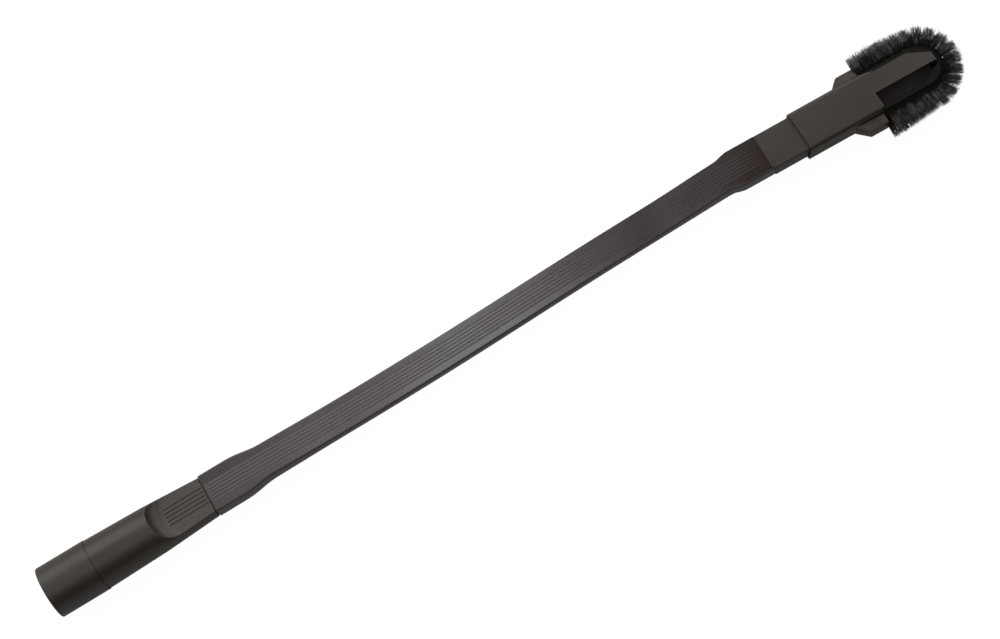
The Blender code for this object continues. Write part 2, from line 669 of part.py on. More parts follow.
def make_rim(parent, material):
    """Bristle rim: a bevelled band round the nose, with two rows of blind holes for the tufts."""
    rear = SHOULDER_END + GAP
    shelf = RIM_WIDTH - 2 * RIM_BEVEL_OUT
    steps = [(RIM_WIDTH, 0), (RIM_WIDTH, RIM_WALL_HEIGHT), (shelf, RIM_WALL_HEIGHT + RIM_BEVEL_UP)]
    steps.append((RIM_CROWN_WIDTH, RIM_HEIGHT))
    rings = [level(band_outline(width, rear, GAP), RIM_UNDERSIDE + rise) for width, rise in steps]
    rim = add_piece("bristle_rim", loft_mesh("bristle_rim", rings), parent, material)
    for row in ("upper", "lower"):
        for number in range(TUFTS_PER_ROW):
            combine(rim, "DIFFERENCE", tuft_hole(row, number, parent))
    return rim


def spread_strand(bm, face, length, rise, count):
    """Draws one strand out of a face, leaning away from the tuft's middle."""
    middle = face.calc_center_median()
    angle = math.atan2(middle.y, middle.x)
    spread = SPREAD_SHARES[count % 2]
    reach = length * LENGTH_SHARES[count % 2]
    tip = Vector((rise * math.cos(angle), TUFT_SPREAD * math.sin(angle), 0)) * spread
    tip.z = reach
    drawn = bmesh.ops.extrude_discrete_faces(bm, faces=[face])["faces"][0]
    for vert in drawn.verts:
        vert.co = middle + tip + (vert.co - middle) * TIP_SHARE


def tuft_mesh(row):
    """A tuft: a short plug whose strands fan out of its end. Z runs along the tuft."""
    upper = row == "upper"
    rise = UPPER_ROW_RISE if upper else LOWER_ROW_RISE
    back = RIM_BEVEL_OUT / 2 if upper else 0
    length = BRUSH_HALF_WIDTH - RIM_WIDTH / 2 + back
    bm = bmesh.new()
    depth = TUFT_SEAT_DEPTH - GAP
    bmesh.ops.create_cone(bm, cap_ends=True, segments=STRANDS_PER_TUFT, radius1=TUFT_RADIUS,
                          radius2=TUFT_RADIUS, depth=depth, matrix=Matrix.Translation((0, 0, -depth / 2)))
    bm.faces.ensure_lookup_table()
    end = max(bm.faces, key=lambda face: face.calc_center_median().z)
    slices = bmesh.ops.poke(bm, faces=[end])["faces"]
    bmesh.ops.inset_individual(bm, faces=slices, thickness=STRAND_CLEARANCE)
    for count, face in enumerate(slices):
        spread_strand(bm, face, length, rise, count)
    return finish_mesh(f"tuft_{row}", bm)


def make_tufts(row, parent, material):
    """One row of tufts round the rim, which share a mesh."""
    mesh = tuft_mesh(row)
    lie_down = Matrix.Rotation(math.radians(90), 4, "Y")
    for number in range(TUFTS_PER_ROW):
        name = f"tuft_{row}_{number + 1:02d}"
        if number:
            tuft = bpy.data.objects.new(name, mesh)
            PARTS.objects.link(tuft)
            tuft.parent = parent
        else:
            tuft = add_piece(name, mesh, parent, material)
        tuft.matrix_local = tuft_place(row, number) @ lie_down


def build():
    """Makes all the pieces in their frames."""
    shell = plastic("charcoal_shell", (0.040, 0.039, 0.037), 0.42)
    soft = plastic("charcoal_flexible", (0.038, 0.036, 0.036), 0.55)
    dark = plastic("black_rim", (0.012, 0.012, 0.012), 0.6)
    fibre = plastic("black_bristle", (0.018, 0.017, 0.016), 0.5)
    start = (-TOOL_LENGTH / 2, 0, SOCKET_RADIUS)
    socket_frame = frame("socket_frame", None, start)
    make_connector(socket_frame, shell)
    make_tube(socket_frame, soft)
    middle_shift, _ = spine(TUBE_LENGTH / 2)
    flex_place = (TUBE_START + TUBE_LENGTH / 2, middle_shift, 0)
    flex_axis = frame("tube_flex_axis", socket_frame, flex_place)
    end_shift, end_heading = spine(TUBE_LENGTH)
    end_place = (TUBE_LENGTH / 2, end_shift - middle_shift, 0)
    nozzle_frame = frame("nozzle_frame", flex_axis, end_place, end_heading)
    make_mouthpiece(nozzle_frame, shell)
    pull_axis = frame("brush_pull_axis", nozzle_frame, (SLEEVE_EDGE, 0, 0))
    make_head(pull_axis, shell)
    make_rim(pull_axis, dark)
    make_tufts("upper", pull_axis, fibre)
    make_tufts("lower", pull_axis, fibre)


clear_scene()
PARTS = new_collection("radiator_brush")
CUTTERS = new_collection("cutters", hidden=True)
build()
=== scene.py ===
# %% [markdown]
# # A radiator brush for a vacuum cleaner
#
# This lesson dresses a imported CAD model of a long, flat vacuum cleaner nozzle. On the real tool there are
# five kinds of piece: a stiff hose connector, a flexible tube, a stiff mouthpiece, and a slip-on brush head
# with its dark rim and its tufts of nylon. The CAD solids of the stiff mouldings already have the right
# shape, so they keep it and get rounded edges and real materials. The soft tube and the tufts are made new,
# because one has to bend and the others are far finer than CAD solids can be.
#
# Everything is in metres, in the frame of the CAD model: +X runs from the hose to the brush, +Z is up, and
# the floor is at z = 0.

import json
import math
import random

import bmesh
import bpy
from mathutils import Matrix, Vector


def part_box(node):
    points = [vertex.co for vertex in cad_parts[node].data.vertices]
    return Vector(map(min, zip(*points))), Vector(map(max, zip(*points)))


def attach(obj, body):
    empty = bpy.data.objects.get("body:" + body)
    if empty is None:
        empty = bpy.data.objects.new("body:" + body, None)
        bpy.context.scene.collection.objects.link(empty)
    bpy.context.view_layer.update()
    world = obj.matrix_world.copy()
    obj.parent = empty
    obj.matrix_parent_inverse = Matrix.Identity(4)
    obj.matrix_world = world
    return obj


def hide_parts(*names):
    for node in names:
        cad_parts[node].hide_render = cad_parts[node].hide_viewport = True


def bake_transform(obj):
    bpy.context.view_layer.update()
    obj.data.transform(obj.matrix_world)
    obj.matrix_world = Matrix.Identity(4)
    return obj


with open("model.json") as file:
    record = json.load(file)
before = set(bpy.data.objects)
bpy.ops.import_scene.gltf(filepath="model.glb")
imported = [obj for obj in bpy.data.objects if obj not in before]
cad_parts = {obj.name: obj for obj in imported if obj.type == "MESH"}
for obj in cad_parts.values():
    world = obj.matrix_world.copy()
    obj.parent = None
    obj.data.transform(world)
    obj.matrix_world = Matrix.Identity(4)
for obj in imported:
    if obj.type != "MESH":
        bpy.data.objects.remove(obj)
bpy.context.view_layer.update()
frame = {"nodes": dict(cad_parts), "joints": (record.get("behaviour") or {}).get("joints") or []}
NODES = frame["nodes"]

# %% [markdown]
# ## The places that the CAD model gives
#
# The brush head slips off along a line that isn't quite along X, because the tube bends a little on its way.
# That line is the axis of the slide joint, so the joint gives its direction. Working in the brush head's own
# frame keeps the numbers below as simple as on a drawing: x runs along the head from the edge of its sleeve,
# y is the distance to the side of its middle line, and z is the height above its axis.

# %% Frames of the connector and of the brush head
JOINTS = {joint["name"]: joint for joint in frame["joints"]}
FLEX_PLACE = Vector(JOINTS["tube_flex"]["pos_m"])
PULL_AXIS = Vector(JOINTS["brush_head_pull"]["axis"]).normalized()
HEADING = math.atan2(PULL_AXIS.y, PULL_AXIS.x)
MM = 0.001
AXIS_HEIGHT = FLEX_PLACE.z                  # of the whole tool above the floor
HOSE_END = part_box("hose_connector")[0].x
TUBE_START = HOSE_END + 129.8 * MM
TUBE_LENGTH = 466.0 * MM
NOZZLE_PLACE = Vector((0.2166, 0.003764, AXIS_HEIGHT))     # the middle of the tube's far end
SLEEVE_EDGE = 29.2 * MM                     # from there to the edge of the brush head's sleeve
HEAD_FRAME = Matrix.Translation(NOZZLE_PLACE + PULL_AXIS * SLEEVE_EDGE) @ Matrix.Rotation(HEADING, 4, "Z")
print("brush head frame at", [round(value, 4) for value in HEAD_FRAME.translation])

# %% [markdown]
# ## Colours
#
# Plastics are usually matched to hex colours. Those are sRGB, while Blender's sockets take linear values, so
# one function does the change.

# %% From hex to linear


def linear(text):
    """The linear colour, with alpha, of an sRGB hex colour such as #2a2723."""
    shares = [int(text[i:i + 2], 16) / 255 for i in (1, 3, 5)]
    return [s / 12.92 if s <= 0.04045 else ((s + 0.055) / 1.055) ** 2.4 for s in shares] + [1.0]


print("the middle grey #808080 is", round(linear("#808080")[0], 3), "in linear light")

# %% [markdown]
# ## One way to add a node
#
# A material is a small tree of nodes. One function adds any of them, sets its properties and its sockets,
# and links it to the nodes before it. A socket is set with a value, or with another node's output.

# %% Add a node


def add(tree, kind, settings=None, inputs=None):
    """Adds a node with its settings, and values or links for its inputs."""
    node = tree.nodes.new(kind)
    for name, value in (settings or {}).items():
        setattr(node, name, value)
    for name, value in (inputs or {}).items():
        if isinstance(value, bpy.types.NodeSocket):
            tree.links.new(value, node.inputs[name])
        else:
            node.inputs[name].default_value = value
    return node


# %% [markdown]
# ## Moulded plastic
#
# Polypropylene and soft polyethylene look alike from afar. Up close, each has the fine grain that the mould
# was spark-eroded with, which breaks up the gloss, and faint long clouds where the melt flowed. The grain is
# about 0.2 mm, which is finer than a pixel here, so it is drawn at 0.7 to 1.4 mm. The clouds change the
# roughness more than the colour. Where an edge is touched often, it is polished a little lighter: the Bevel
# node finds such edges, by comparing the rounded normal with the plain one.

# %% A plastic with grain, clouds and worn edges
CLOUD_SIZE = 40 * MM
CLOUD_ROUGHNESS = 0.04                      # by which a cloud is duller or glossier
GRAIN_STRENGTH = 0.5
WORN_WIDTH = 0.5 * MM                       # of the polished strip along an edge
WORN_MATCH = (0.99, 0.86)                   # of the two normals, where wear begins and where it is full
WORN_SHARE = 0.35                           # of the worn colour where wear is full


def moulded(name, colour, cloud_colour, worn_colour, roughness, grain_mm, grain_depth_mm, specular, ior):
    """A moulded plastic. Its grain is grain_mm wide and grain_depth_mm deep."""
    material = bpy.data.materials.new(name)
    material.use_nodes = True
    tree = material.node_tree
    tree.nodes.clear()
    place = add(tree, "ShaderNodeTexCoord").outputs["Object"]
    clouds = add(tree, "ShaderNodeTexNoise", inputs={"Vector": place, "Scale": 1 / CLOUD_SIZE, "Detail": 4.0})
    grain = add(tree, "ShaderNodeTexNoise",
                inputs={"Vector": place, "Scale": 1 / (grain_mm * MM), "Detail": 2.0})
    edge = add(tree, "ShaderNodeBevel", {"samples": 4}, {"Radius": WORN_WIDTH})
    plain = add(tree, "ShaderNodeNewGeometry")
    match = add(tree, "ShaderNodeVectorMath", {"operation": "DOT_PRODUCT"},
                {0: edge.outputs["Normal"], 1: plain.outputs["Normal"]})
    worn = add(tree, "ShaderNodeMapRange",
               inputs={"Value": match.outputs["Value"], "From Min": WORN_MATCH[0], "From Max": WORN_MATCH[1],
                       "To Min": 0.0, "To Max": WORN_SHARE})
    base = add(tree, "ShaderNodeMix", {"data_type": "RGBA"},
               {0: clouds.outputs["Fac"], 6: linear(colour), 7: linear(cloud_colour)})
    tint = add(tree, "ShaderNodeMix", {"data_type": "RGBA"},
               {0: worn.outputs["Result"], 6: base.outputs[2], 7: linear(worn_colour)})
    dull = add(tree, "ShaderNodeMapRange",
               inputs={"Value": clouds.outputs["Fac"], "From Min": 0.3, "From Max": 0.7,
                       "To Min": roughness - CLOUD_ROUGHNESS, "To Max": roughness + CLOUD_ROUGHNESS})
    bump = add(tree, "ShaderNodeBump", inputs={"Height": grain.outputs["Fac"], "Strength": GRAIN_STRENGTH,
                                               "Distance": grain_depth_mm * MM})
    surface = add(tree, "ShaderNodeBsdfPrincipled",
                  inputs={"Base Color": tint.outputs[2], "Roughness": dull.outputs["Result"],
                          "Normal": bump.outputs["Normal"], "IOR": ior, "Specular IOR Level": specular})
    add(tree, "ShaderNodeOutputMaterial", inputs={"Surface": surface.outputs["BSDF"]})
    print("material", name, "with", len(tree.nodes), "nodes")
    return material


# %% The four plastics
# Stiff polypropylene from a finely eroded mould: a dull sheen, broken by its grain.
STIFF = moulded("moulded_polypropylene", colour="#281f16", cloud_colour="#2c2319", worn_colour="#383027",
                roughness=0.42, grain_mm=0.9, grain_depth_mm=0.05, specular=0.5, ior=1.49)
# Soft polyethylene from a smoother mould: a clearer sheen, and a touch of red in it.
SOFT = moulded("moulded_soft_polyethylene", colour="#2a1f1d", cloud_colour="#2e2321", worn_colour="#3b302e",
               roughness=0.20, grain_mm=0.7, grain_depth_mm=0.02, specular=0.5, ior=1.51)
# Black polypropylene from a coarser mould: almost no sheen, so that the rim sinks into the dark.
DARK = moulded("moulded_black_polypropylene", colour="#0f0e0c", cloud_colour="#131210", worn_colour="#1c1a18",
               roughness=0.80, grain_mm=0.9, grain_depth_mm=0.05, specular=0.15, ior=1.49)
# The same black, painted lighter for the faces inside the hood, which lie in deep shade: a painted fill light,
# with no sheen at all.
PAINTED_FILL = moulded("black_polypropylene_painted_fill", colour="#3a3733", cloud_colour="#403d38", worn_colour="#423f3a",
                roughness=0.90, grain_mm=1.4, grain_depth_mm=0.08, specular=0.1, ior=1.49)

# %% [markdown]
# ## The stiff mouldings
#
# CAD edges are perfectly sharp, and real ones never are: a mould leaves a few tenths of a millimetre of
# round on them, and that round is what catches the light. So each stiff solid is copied, its doubled points
# are merged, its flat faces are joined, and a Bevel modifier rounds what is left. The copy stands for the
# CAD node, which stays for the physics.

# %% Round the edges of a CAD solid
MERGE_DISTANCE = 0.001 * MM
FLAT_ANGLE = math.radians(0.5)              # faces that differ by less are one flat face
EDGE_ANGLE = math.radians(32)               # faces that differ by more meet in an edge


def rounded_copy(node, name, materials, width, body):
    """A copy of a CAD node with rounded edges, which stands for it."""
    mesh = NODES[node].data.copy()
    mesh.name = name
    bm = bmesh.new()
    bm.from_mesh(mesh)
    bmesh.ops.remove_doubles(bm, verts=bm.verts, dist=MERGE_DISTANCE)
    bmesh.ops.dissolve_limit(bm, angle_limit=FLAT_ANGLE, verts=bm.verts, edges=bm.edges)
    bm.to_mesh(mesh)
    bm.free()
    mesh.materials.clear()
    for material in materials:
        mesh.materials.append(material)
    piece = bpy.data.objects.new(name, mesh)
    bpy.context.scene.collection.objects.link(piece)
    mesh.shade_smooth()
    edge = piece.modifiers.new("rounded", "BEVEL")
    edge.width = width
    edge.segments = 2
    edge.limit_method = "ANGLE"
    edge.angle_limit = EDGE_ANGLE
    edge.harden_normals = True
    mesh.set_sharp_from_angle(angle=EDGE_ANGLE)
    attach(piece, body)
    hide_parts(node)
    print(name, len(mesh.vertices), "points")
    return piece


# %% Round the four stiff pieces
NOZZLE_ROUND = 0.25 * MM
HEAD_ROUND = 0.45 * MM
RIM_ROUND = 0.15 * MM
rounded_copy("hose_connector", "connector_moulding", [STIFF], NOZZLE_ROUND, "connector")
rounded_copy("mouthpiece", "mouthpiece_moulding", [STIFF], NOZZLE_ROUND, "nozzle")
# The brush head's second material is painted fill light, for the shaded faces inside the hood.
head = rounded_copy("brush_head", "brush_head_moulding", [STIFF, PAINTED_FILL], HEAD_ROUND, "brush")
rounded_copy("bristle_rim", "bristle_rim_moulding", [DARK], RIM_ROUND, "brush")

# %% [markdown]
# ## The inside of the hood, painted lighter
#
# Through the window one looks into the hood, which lies in deep shade. So the faces that look inwards get a
# material of their own, a lighter and quite dull copy of the black plastic: painted fill light that keeps that
# shade from going black. Their place and the way that they face tell them apart: a ceiling faces down, a floor
# lies low, and a wall faces the middle line.

# %% Find the faces inside the hood
HOOD_INSIDE_START = 57.0 * MM               # along the head, where its hollow can be seen
CEILING = 6.7 * MM                          # above the head's axis
SILL = -4.0 * MM                            # the floor of the hood is below this
LEVEL = 0.5                                 # a face whose normal has more of this along z is level

to_head = HEAD_FRAME.inverted()
turn_to_head = to_head.to_3x3()
inside_faces = 0
for face in head.data.polygons:
    middle = to_head @ face.center
    facing = turn_to_head @ face.normal
    ceiling = facing.z < -LEVEL and middle.z < CEILING
    floor_of_hood = facing.z > LEVEL and middle.z < SILL
    wall = abs(facing.z) <= LEVEL and facing.y * middle.y < 0
    if middle.x > HOOD_INSIDE_START and (ceiling or floor_of_hood or wall):
        # painted fill light for the shaded inside of the hood
        face.material_index = 1
        inside_faces += 1
print("faces inside the hood:", inside_faces)

# %% [markdown]
# ## The flexible tube
#
# It is one soft flat hose with six grooves along each broad face and a thicker cuff at each end. A rigid
# solid can't bend, so the tube is made here as a loft: one section, drawn along the tube's curved centre
# line.
#
# A soft tube never lies quite straight. This one's centre line ends a little to the side and at a slight
# slope, with one long bow on the way and a shorter one near the mouthpiece.

# %% The tube's centre line
CUFF_LENGTH = 26.0 * MM                     # straight at each end, where a spigot holds it
SIDE_SHIFT = 4.7 * MM                       # of the far cuff
END_SLOPE = -0.036                          # of the far cuff, the tangent of its angle to X
BOW = 3.4 * MM                              # to the side at the middle
FAR_BOW = 1.4 * MM                          # to the side near the mouthpiece
FAR_BOW_SHARE = 0.85                        # place of the far bow's top along the bent length
FAR_BOW_POWER = 2 * FAR_BOW_SHARE / (1 - FAR_BOW_SHARE)
CURVED = TUBE_LENGTH - 2 * CUFF_LENGTH


def smooth_step(share):
    """From 0 to 1 with a level start and end."""
    share = min(max(share, 0), 1)
    return share * share * (3 - 2 * share)


def centre_line(distance):
    """Sideways shift of the tube's centre line, at a distance from its start."""
    share = min(max((distance - CUFF_LENGTH) / CURVED, 0), 1)
    left = 1 - share
    shift = SIDE_SHIFT * smooth_step(share) - CURVED * END_SLOPE * share * share * left
    shift -= BOW * 16 * share * share * left * left
    shift -= FAR_BOW * (share / FAR_BOW_SHARE) ** FAR_BOW_POWER * (left / (1 - FAR_BOW_SHARE)) ** 2
    return shift + END_SLOPE * max(distance - CUFF_LENGTH - CURVED, 0)


def stand_up(distance, section):
    """A section's points across the centre line, in the world."""
    step = 0.1 * MM
    heading = math.atan2(centre_line(distance + step) - centre_line(distance - step), 2 * step)
    middle = Vector((TUBE_START + distance, centre_line(distance), AXIS_HEIGHT))
    side = Vector((-math.sin(heading), math.cos(heading), 0))
    return [middle + side * y + Vector((0, 0, z)) for y, z in section]


print("the tube's far end is", round(centre_line(TUBE_LENGTH) / MM, 2), "mm to the side")

# %% [markdown]
# The tube's upper edges are crisp and its lower ones well rounded, so the section is made of two halves. A
# groove is a soft V: a few points down one side and up the other, close together at its lips. Beyond the
# outermost groove on each side lies a smooth margin. The upper one on the +y side rises by a few degrees, so
# it meets the light at another angle and shows as a strip of its own.

# %% The tube's section
GROOVES = 6
GROOVE_PITCH = 2.6 * MM
GROOVE_WIDTH = 1.2 * MM
GROOVE_DEPTH = 0.22 * MM
# Places across a groove, as shares of its width, with the shares of its depth that they have.
GROOVE_PROFILE = ((0.5, 0), (0.4, 0.08), (0.17, 0.85), (0, 1), (-0.17, 0.85), (-0.4, 0.08), (-0.5, 0))
# Widths and thicknesses in mm, at distances in mm from the tube's start.
TUBE_WIDTHS = [(0, 30.6), (24, 30.6), (48, 25.2), (431.5, 25.2), (442.5, 30.0), (466, 30.0)]
TUBE_THICKNESSES = [(0, 13.8), (8, 13.8), (115, 8.9), (370, 8.9), (448, 12.2), (466, 12.2)]
TOP_CORNER = 1.1 * MM                       # radius of the upper edges
FOOT_CORNER = 3.0 * MM                      # radius of the lower edges
CORNER_STEPS = 6                            # from one side of an edge's round to the other
MARGIN_EDGE = 7.3 * MM                      # from the middle line, beyond the outermost groove
MARGIN_STEP = 0.25 * MM                     # between points that keep the margin's shading flat
MARGIN_RISE = math.tan(math.radians(3))     # of the upper margin on the +y side


def size_at(sizes, distance):
    """The size of the tube at a distance, from a list of distances and sizes in mm."""
    for (start, near), (end, far) in zip(sizes, sizes[1:]):
        if distance <= end * MM:
            return (near + (far - near) * smooth_step((distance / MM - start) / (end - start))) * MM
    return sizes[-1][1] * MM


def half_section(width, thickness, corner, depth):
    """Points (y, z) over the upper half of a flat section, with rounded corners and grooves."""
    top = thickness / 2
    points = []
    for i in range(CORNER_STEPS + 1):
        angle = math.radians(90 * i / CORNER_STEPS)
        points.append((width / 2 - corner * (1 - math.cos(angle)), top - corner * (1 - math.sin(angle))))
    points += [(y, top) for y in (width / 2 - corner - MARGIN_STEP, MARGIN_EDGE + MARGIN_STEP, MARGIN_EDGE)]
    right_corner = list(points)
    for i in range(GROOVES):
        middle = ((GROOVES - 1) / 2 - i) * GROOVE_PITCH
        for place, share in GROOVE_PROFILE:
            points.append((middle + place * GROOVE_WIDTH, top - depth * share))
    return points + [(-y, z) for y, z in reversed(right_corner)]


def tube_section(width, thickness, top_corner, foot_corner, depth):
    """Points (y, z) round the tube."""
    top = half_section(width, thickness, top_corner, depth)
    raised = [(y, z + max(y - MARGIN_EDGE, 0) * MARGIN_RISE * max(2 * z / thickness, 0)) for y, z in top]
    foot = half_section(width, thickness, foot_corner, depth)
    return raised + [(-y, -z) for y, z in foot]


print("points round the tube:", len(tube_section(25 * MM, 9 * MM, TOP_CORNER, FOOT_CORNER, GROOVE_DEPTH)))

# %% [markdown]
# At the connector the tube's end is rounded off, which leaves a shallow seam there. At the mouthpiece the two
# meet nearly flush, so only the change of plastic shows. The grooves run out before each end.

# %% The tube's outside
TUBE_STEP = 4 * MM                          # between sections
END_STEPS = (0, 0.3 * MM, 0.7 * MM, 1.3 * MM)     # from an end, where its rounding has its sections
NEAR_ROUND = 1.8 * MM                       # taken off the width and thickness at the connector
FAR_ROUND = 0.3 * MM                        # and at the mouthpiece, which it fits nearly flush
FADE = 25 * MM                              # over which the grooves run out in a cuff


def tube_outside():
    """Rings of the outside, from the connector to the mouthpiece."""
    count = round(TUBE_LENGTH / TUBE_STEP)
    stations = list(END_STEPS) + [TUBE_LENGTH * i / count for i in range(1, count)]
    stations += [TUBE_LENGTH - distance for distance in reversed(END_STEPS)]
    rings = []
    for distance in stations:
        width = size_at(TUBE_WIDTHS, distance)
        thickness = size_at(TUBE_THICKNESSES, distance)
        to_end = min(distance, TUBE_LENGTH - distance)
        end_round = NEAR_ROUND if distance < TUBE_LENGTH / 2 else FAR_ROUND
        eased = end_round * (1 - min(to_end / END_STEPS[-1], 1)) ** 2
        depth = GROOVE_DEPTH * min(to_end / FADE, 1)
        section = tube_section(width - eased, thickness - eased, TOP_CORNER, FOOT_CORNER, depth)
        rings.append(stand_up(distance, section))
    return rings


print("sections along the outside:", len(tube_outside()))

# %% The tube's bore
BORE_CORNER = 2.6 * MM
CUFF_BORE = (26.6 * MM, 9.6 * MM)           # width and height, round a spigot
CUFF_BORE_DEPTH = 25.3 * MM
DUCT = (21.6 * MM, 5.3 * MM)                # width and height, between the cuffs


def tube_inside():
    """Rings of the bore, back from the mouthpiece to the connector."""
    cuff = tube_section(*CUFF_BORE, BORE_CORNER, BORE_CORNER, 0)
    duct = tube_section(*DUCT, BORE_CORNER, BORE_CORNER, 0)
    far = TUBE_LENGTH - CUFF_BORE_DEPTH
    count = round((far - CUFF_BORE_DEPTH) / TUBE_STEP)
    rings = [stand_up(TUBE_LENGTH, cuff), stand_up(far, cuff)]
    for i in range(count + 1):
        rings.append(stand_up(far + (CUFF_BORE_DEPTH - far) * i / count, duct))
    return rings + [stand_up(CUFF_BORE_DEPTH, cuff), stand_up(0, cuff)]


print("sections along the bore:", len(tube_inside()))

# %% Make the tube
TUBE_EDGE_ANGLE = math.radians(40)          # faces that differ by more meet in an edge


def bridge(bm, loops):
    """Joins rings of points into a surface."""
    for near, far in zip(loops, loops[1:]):
        for i, point in enumerate(near):
            j = (i + 1) % len(near)
            bm.faces.new((point, near[j], far[j], far[i]))


def make_tube():
    """The flexible tube, hollow from end to end."""
    bm = bmesh.new()
    loops = [[bm.verts.new(point) for point in ring] for ring in tube_outside() + tube_inside()]
    bridge(bm, loops + [loops[0]])
    bmesh.ops.recalc_face_normals(bm, faces=bm.faces)
    mesh = bpy.data.meshes.new("tube_moulding")
    bm.to_mesh(mesh)
    bm.free()
    mesh.materials.append(SOFT)
    mesh.shade_smooth()
    mesh.set_sharp_from_angle(angle=TUBE_EDGE_ANGLE)
    piece = bpy.data.objects.new("tube_moulding", mesh)
    bpy.context.scene.collection.objects.link(piece)
    return piece


tube = make_tube()
print("tube points", len(tube.data.vertices))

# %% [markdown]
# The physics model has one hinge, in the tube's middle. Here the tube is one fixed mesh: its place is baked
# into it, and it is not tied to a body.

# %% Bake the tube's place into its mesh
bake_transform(tube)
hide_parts("flexible_tube")

# %% [markdown]
# ## The bristles
#
# Each tuft is a bundle of nylon filaments about 0.2 mm thick, folded into a blind hole in the rim. They
# spread as they leave it, and were trimmed to one outline. Hair particles would look right and then be lost
# in an export, so every filament is a thin three-sided mesh tube. It is drawn nearly 0.3 mm thick, because
# fewer of them have to hide what lies behind. A seeded random generator gives each its own lean and length,
# the same on every run.

# %% Nylon filament
STREAK_SIZE = 1.5 * MM
NYLON_IOR = 1.53


def nylon(name, colour, streak_colour, roughness, specular):
    """Nylon filament. Between so many of them little light comes back, so they are nearly dull."""
    material = bpy.data.materials.new(name)
    material.use_nodes = True
    tree = material.node_tree
    tree.nodes.clear()
    place = add(tree, "ShaderNodeTexCoord").outputs["Object"]
    change = add(tree, "ShaderNodeTexNoise", inputs={"Vector": place, "Scale": 1 / STREAK_SIZE, "Detail": 1.0})
    base = add(tree, "ShaderNodeMix", {"data_type": "RGBA"},
               {0: change.outputs["Fac"], 6: linear(colour), 7: linear(streak_colour)})
    surface = add(tree, "ShaderNodeBsdfPrincipled",
                  inputs={"Base Color": base.outputs[2], "Roughness": roughness, "IOR": NYLON_IOR,
                          "Specular IOR Level": specular})
    add(tree, "ShaderNodeOutputMaterial", inputs={"Surface": surface.outputs["BSDF"]})
    return material


# Black nylon, painted darker still: the near-black also stands for the shade deep between the filaments.
NYLON = nylon("nylon_filament", colour="#0b0a0a", streak_colour="#161514", roughness=0.50, specular=0.2)
# The tips of some wisps are painted pale: a painted highlight, as if they caught more light.
PAINTED_HIGHLIGHT_NYLON = nylon("nylon_filament_painted_highlight", colour="#4e4b47", streak_colour="#716d68", roughness=0.40,
                   specular=0.5)
print("materials", NYLON.name, "and", PAINTED_HIGHLIGHT_NYLON.name)

# %% [markdown]
# The tufts stand in two rows round the rim, one in its bevel and one in its side wall, and those of the lower
# row are between those of the upper one. A station is a share of the way round the rim, from its rear end on
# the closed side, round the nose, to its rear end on the window's side. The bristles have been used: they are
# shortest just past the nose on the window's side, which they were rubbed with, and longest at the rear ends.

# %% Where the tufts are
NOSE_CENTRE = 98.2 * MM                     # along the brush head, of the half round front
RIM_REAR = 59.8 * MM
RIM_HALF_WIDTH = 20.8 * MM
RIM_BOTTOM = -6.45 * MM                     # below the tool's axis
TUFTS = 21                                  # in each of the two rows


def rim_station(share):
    """A place on the rim's wall, and the direction in degrees that points out of it."""
    straight = NOSE_CENTRE - RIM_REAR
    bend = math.pi * RIM_HALF_WIDTH
    run = share * (2 * straight + bend)
    if run < straight:
        return RIM_REAR + run, RIM_HALF_WIDTH, 90
    if run > straight + bend:
        return NOSE_CENTRE - (run - straight - bend), -RIM_HALF_WIDTH, -90
    angle = 90 - math.degrees((run - straight) / RIM_HALF_WIDTH)
    out = math.radians(angle)
    return NOSE_CENTRE + RIM_HALF_WIDTH * math.cos(out), RIM_HALF_WIDTH * math.sin(out), angle


print("rear end of the rim, in mm along and across the head:", [round(v / MM, 1) for v in rim_station(0)[:2]])

# %% The frame and the reach of a tuft
REACHES_MM = (14.0, 15.2, 13.6, 14.4, 14.2, 12.4, 12.6, 14.4, 15.6)     # past the rim, at even stations
# Of each row: its place in a tuft's share of the rim, its depth behind the rim's wall, its height over the
# rim's bottom, and its tilt in degrees.
ROWS = {"upper": (0.25, 1.8 * MM, 7.2 * MM, 12), "lower": (0.75, 0, 1.8 * MM, -2)}


def reach_at(share):
    """How far the longest filaments reach past the rim's wall."""
    place = share * (len(REACHES_MM) - 1)
    near = min(int(place), len(REACHES_MM) - 2)
    return (REACHES_MM[near] + (REACHES_MM[near + 1] - REACHES_MM[near]) * (place - near)) * MM


def tuft_frame(row, number):
    """A matrix at the mouth of a tuft's hole, whose X axis points along the tuft."""
    share, back, height, tilt = ROWS[row]
    x, y, angle = rim_station((number + share) / TUFTS)
    out = math.radians(angle)
    root = Vector((x - back * math.cos(out), y - back * math.sin(out), RIM_BOTTOM + height))
    turn = Matrix.Rotation(out, 4, "Z") @ Matrix.Rotation(-math.radians(tilt), 4, "Y")
    return HEAD_FRAME @ Matrix.Translation(root) @ turn


print("reach of the bristles halfway round:", round(reach_at(0.5) / MM, 1), "mm")

# %% [markdown]
# In use, the tips of neighbours cling together in wisps, and the tips of some wisps are painted pale as a
# highlight. So a filament starts out in its own direction and is drawn a little towards its wisp on the way to
# its tip.

# %% One filament
SIDES = 3                                   # of a filament
TAPER = 0.35                                # share of its radius that a filament loses up to its tip


def filament(bm, points, radius, pale):
    """A three-sided tapered tube through points, of which the last ones are painted pale as a highlight."""
    first = len(bm.faces)
    loops = []
    for i, point in enumerate(points):
        ahead = points[min(i + 1, len(points) - 1)] - points[max(i - 1, 0)]
        turn = ahead.to_track_quat("Z", "Y").to_matrix()
        size = radius * (1 - TAPER * i / (len(points) - 1))
        ring = []
        for k in range(SIDES):
            angle = 2 * math.pi * k / SIDES
            ring.append(bm.verts.new(point + turn @ Vector((math.cos(angle), math.sin(angle), 0)) * size))
        loops.append(ring)
    bridge(bm, loops)
    bm.faces.new(reversed(loops[0]))
    bm.faces.new(loops[-1])
    bm.faces.ensure_lookup_table()
    for i in range(first + SIDES * (len(loops) - 1 - pale), len(bm.faces)):
        bm.faces[i].material_index = 1


